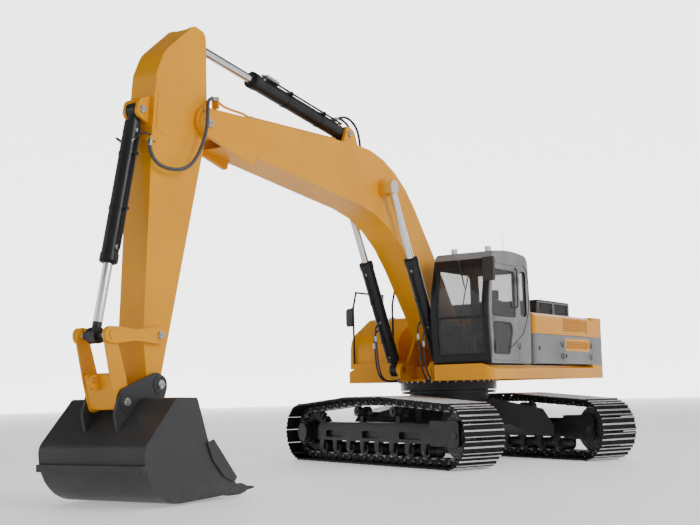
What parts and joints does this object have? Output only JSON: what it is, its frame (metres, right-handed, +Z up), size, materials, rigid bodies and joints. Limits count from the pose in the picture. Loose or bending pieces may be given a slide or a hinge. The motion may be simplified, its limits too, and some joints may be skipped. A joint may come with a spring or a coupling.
{
  "type": "crawler excavator",
  "caption": "Tracked excavator with slewing house and cab, two-piece digging arm with hydraulic cylinders, linkage and toothed bucket.",
  "frame": {"origin": "on the slew axis, at ground level under the track shoes", "axes": "+X from the slew axis towards the bucket, +Y to the cab's side, +Z up"},
  "size_m": [11.4313, 5.9186, 5.4765],
  "materials": {
    "amber_paint": "semi-gloss",
    "grey_paint": "satin",
    "dark_steel": "worn",
    "black_paint": "satin",
    "bare_steel": "machined",
    "chrome": "polished",
    "glass": "tinted",
    "seat_cloth": "woven",
    "plastic": "matte",
    "hose_rubber": "matte"
  },
  "bodies": {
    "undercarriage": {"car_body": "grey_paint", "track_frame_left": "grey_paint", "track_frame_right": "grey_paint", "track_left": "dark_steel", "track_right": "dark_steel", "idlers": "dark_steel", "sprockets": "dark_steel", "hub_drives": "grey_paint", "bottom_rollers": "dark_steel", "carrier_rollers": "bare_steel", "slew_ring_lower": "black_paint"},
    "upper": {"revolving_frame": "amber_paint", "slew_ring_upper": "black_paint", "counterweight": "grey_paint", "engine_block": "dark_steel", "hood": "amber_paint", "house_posts": "grey_paint", "fuel_tank": "amber_paint", "cab_frame": "black_paint", "cab_roof": "grey_paint", "cab_glazing": "glass", "seat": "seat_cloth", "controls": "plastic", "handrails": "black_paint", "mirrors": "plastic", "work_lamps": "plastic", "upper_pins": "bare_steel"},
    "cab_door": {"cab_door": "black_paint", "door_glass": "glass"},
    "door_front_left": {"door_front_left": "grey_paint"},
    "door_rear_left": {"door_rear_left": "grey_paint"},
    "door_right": {"door_right": "grey_paint"},
    "engine_cover": {"engine_cover": "black_paint"},
    "boom": {"boom": "amber_paint", "boom_pins": "bare_steel", "boom_pipes": "amber_paint", "hose_left": "hose_rubber", "hose_right": "hose_rubber"},
    "lift_barrels": {"lift_barrels": "black_paint"},
    "lift_rods": {"lift_rods": "chrome"},
    "dipper": {"dipper": "amber_paint", "dipper_pins": "bare_steel"},
    "arm_barrel": {"arm_barrel": "black_paint"},
    "arm_rod": {"arm_rod": "chrome"},
    "bucket": {"bucket": "dark_steel", "bucket_teeth": "dark_steel", "bucket_pins": "bare_steel"},
    "guide_links": {"guide_links": "amber_paint"},
    "h_link": {"h_link": "amber_paint"},
    "crowd_barrel": {"crowd_barrel": "black_paint"},
    "crowd_rod": {"crowd_rod": "chrome"}
  },
  "joints": [
    {"name": "slew", "type": "hinge", "parent": "undercarriage", "child": "upper", "pos_m": [0, 0, 1.15], "axis": [0, 0, 1], "continuous": true},
    {"name": "boom_lift", "type": "hinge", "parent": "upper", "child": "boom", "pos_m": [0.24, 0, 1.985], "axis": [0, -1, 0], "range_deg": [-62, 40]},
    {"name": "dipper_swing", "type": "hinge", "parent": "boom", "child": "dipper", "pos_m": [6.31294, 0, 4.31618], "axis": [0, 1, 0], "range_deg": [-66, 48], "deforming": ["hose_left", "hose_right"]},
    {"name": "bucket_curl", "type": "hinge", "parent": "dipper", "child": "bucket", "pos_m": [7.18413, 0, 1.25785], "axis": [0, 1, 0], "range_deg": [-72, 92]},
    {"name": "cab_door_swing", "type": "hinge", "parent": "upper", "child": "cab_door", "pos_m": [0.477, 1.512, 2.2], "axis": [0, 0, 1], "range_deg": [0, 165]},
    {"name": "door_front_left_swing", "type": "hinge", "parent": "upper", "child": "door_front_left", "pos_m": [-1.248, 1.505, 1.7], "axis": [0, 0, 1], "range_deg": [0, 100]},
    {"name": "door_rear_left_swing", "type": "hinge", "parent": "upper", "child": "door_rear_left", "pos_m": [-2.523, 1.505, 1.7], "axis": [0, 0, 1], "range_deg": [0, 100]},
    {"name": "door_right_swing", "type": "hinge", "parent": "upper", "child": "door_right", "pos_m": [-2.523, -1.505, 1.7], "axis": [0, 0, -1], "range_deg": [0, 100]},
    {"name": "engine_cover_lift", "type": "hinge", "parent": "upper", "child": "engine_cover", "pos_m": [-1.064, 0, 2.334], "axis": [0, 1, 0], "range_deg": [0, 70]},
    {"name": "lift_swing", "type": "hinge", "parent": "upper", "child": "lift_barrels", "pos_m": [1, 0, 1.45], "axis": [0, -1, 0], "range_deg": [-63.77, 41.32]},
    {"name": "lift_slide", "type": "slide", "parent": "lift_barrels", "child": "lift_rods", "axis": [0.4522, 0, 0.8919], "range_m": [-0.9307, 0.6022]},
    {"name": "arm_swing", "type": "hinge", "parent": "boom", "child": "arm_barrel", "pos_m": [2.99091, 0, 4.80837], "axis": [0, 1, 0], "range_deg": [-2.26, 1.78]},
    {"name": "arm_slide", "type": "slide", "parent": "arm_barrel", "child": "arm_rod", "axis": [0.9879, 0, 0.1551], "range_m": [-1.0925, 0.7959]},
    {"name": "crowd_swing", "type": "hinge", "parent": "dipper", "child": "crowd_barrel", "pos_m": [7.29439, 0, 4.32021], "axis": [0, 1, 0], "range_deg": [-5.3, 6.63]},
    {"name": "crowd_slide", "type": "slide", "parent": "crowd_barrel", "child": "crowd_rod", "axis": [0.2339, 0, -0.9723], "range_m": [-0.5798, 0.7395]},
    {"name": "guide_swing", "type": "hinge", "parent": "dipper", "child": "guide_links", "pos_m": [7.1667, 0, 1.79357], "axis": [0, 1, 0], "range_deg": [-51.64, 65.85]},
    {"name": "link_swing", "type": "hinge", "parent": "bucket", "child": "h_link", "pos_m": [7.70713, 0, 1.07585], "axis": [0, -1, 0], "range_deg": [-49.54, 63.16]}
  ],
  "couplings": [
    {"joint": "lift_swing", "follows": "boom_lift", "ratio": 1.0205},
    {"joint": "lift_slide", "follows": "boom_lift", "m_per_rad": 0.85546},
    {"joint": "arm_swing", "follows": "dipper_swing", "ratio": 0.0266},
    {"joint": "arm_slide", "follows": "dipper_swing", "m_per_rad": 0.94404},
    {"joint": "crowd_swing", "follows": "bucket_curl", "ratio": 0.0666},
    {"joint": "crowd_slide", "follows": "bucket_curl", "m_per_rad": 0.45741},
    {"joint": "guide_swing", "follows": "bucket_curl", "ratio": 0.7103},
    {"joint": "link_swing", "follows": "bucket_curl", "ratio": 0.6811}
  ]
}
